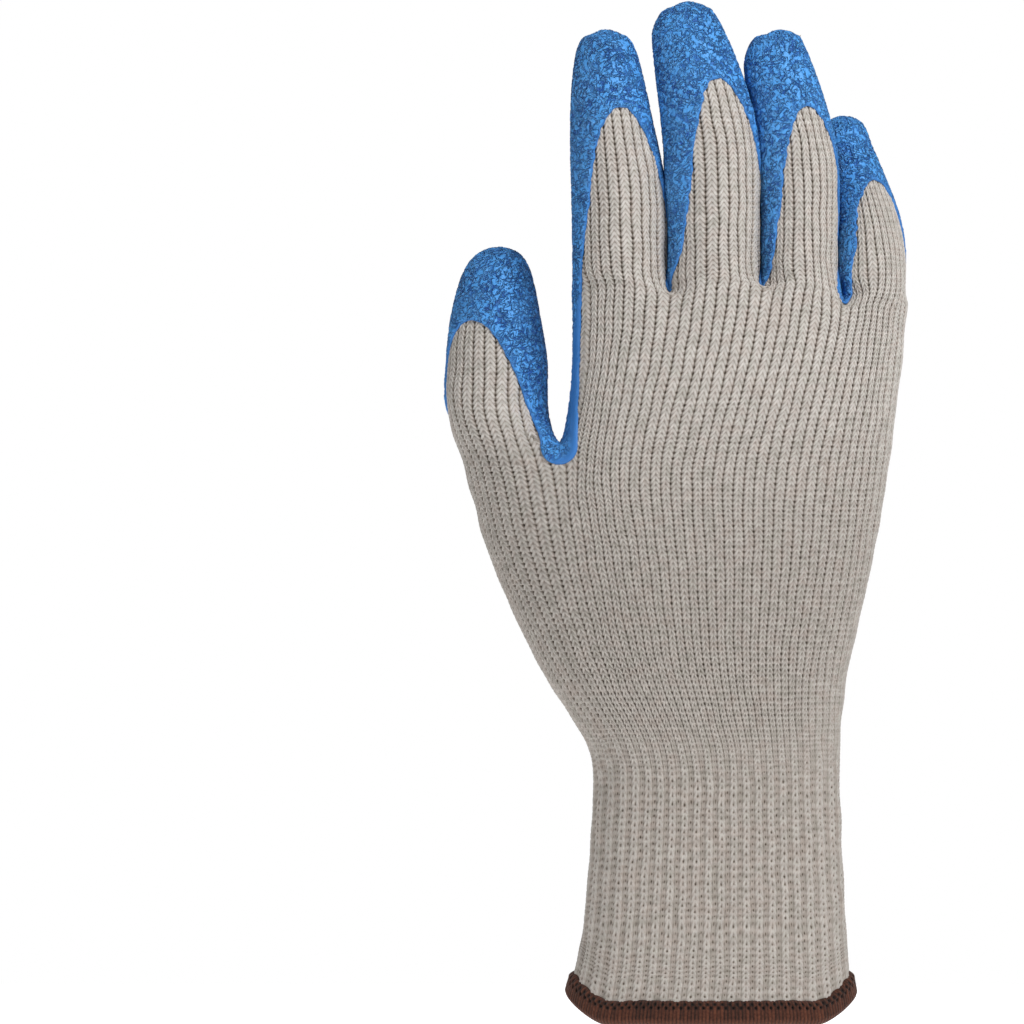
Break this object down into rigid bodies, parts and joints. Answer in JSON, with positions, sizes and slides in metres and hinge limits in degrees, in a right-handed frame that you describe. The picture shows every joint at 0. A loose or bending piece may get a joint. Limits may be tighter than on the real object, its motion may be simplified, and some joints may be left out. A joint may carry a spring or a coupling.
{
  "type": "latex coated grip glove",
  "caption": "Right-hand work glove: seamless knitted liner with a ribbed cuff, crinkled latex over palm, fingers and thumb, and an overedged hem.",
  "frame": {"origin": "centre of the hand opening, in the plane of the hem's lowest points", "axes": "+Z from the hand opening to the fingertips, -Y is the back of the hand, +Y the palm, -X the thumb side"},
  "size_m": [0.1172, 0.047, 0.2554],
  "materials": {
    "knit": "heathered grey beige jersey knit",
    "latex": "crinkled satin natural rubber latex",
    "hem_thread": "brown overedge thread"
  },
  "bodies": {
    "root": {"knit_liner": "knit", "liner_thumb": "knit", "liner_index": "knit", "liner_middle": "knit", "liner_ring": "knit", "liner_little": "knit", "latex_coat": "latex", "overlock_hem": "hem_thread"}
  },
  "joints": []
}
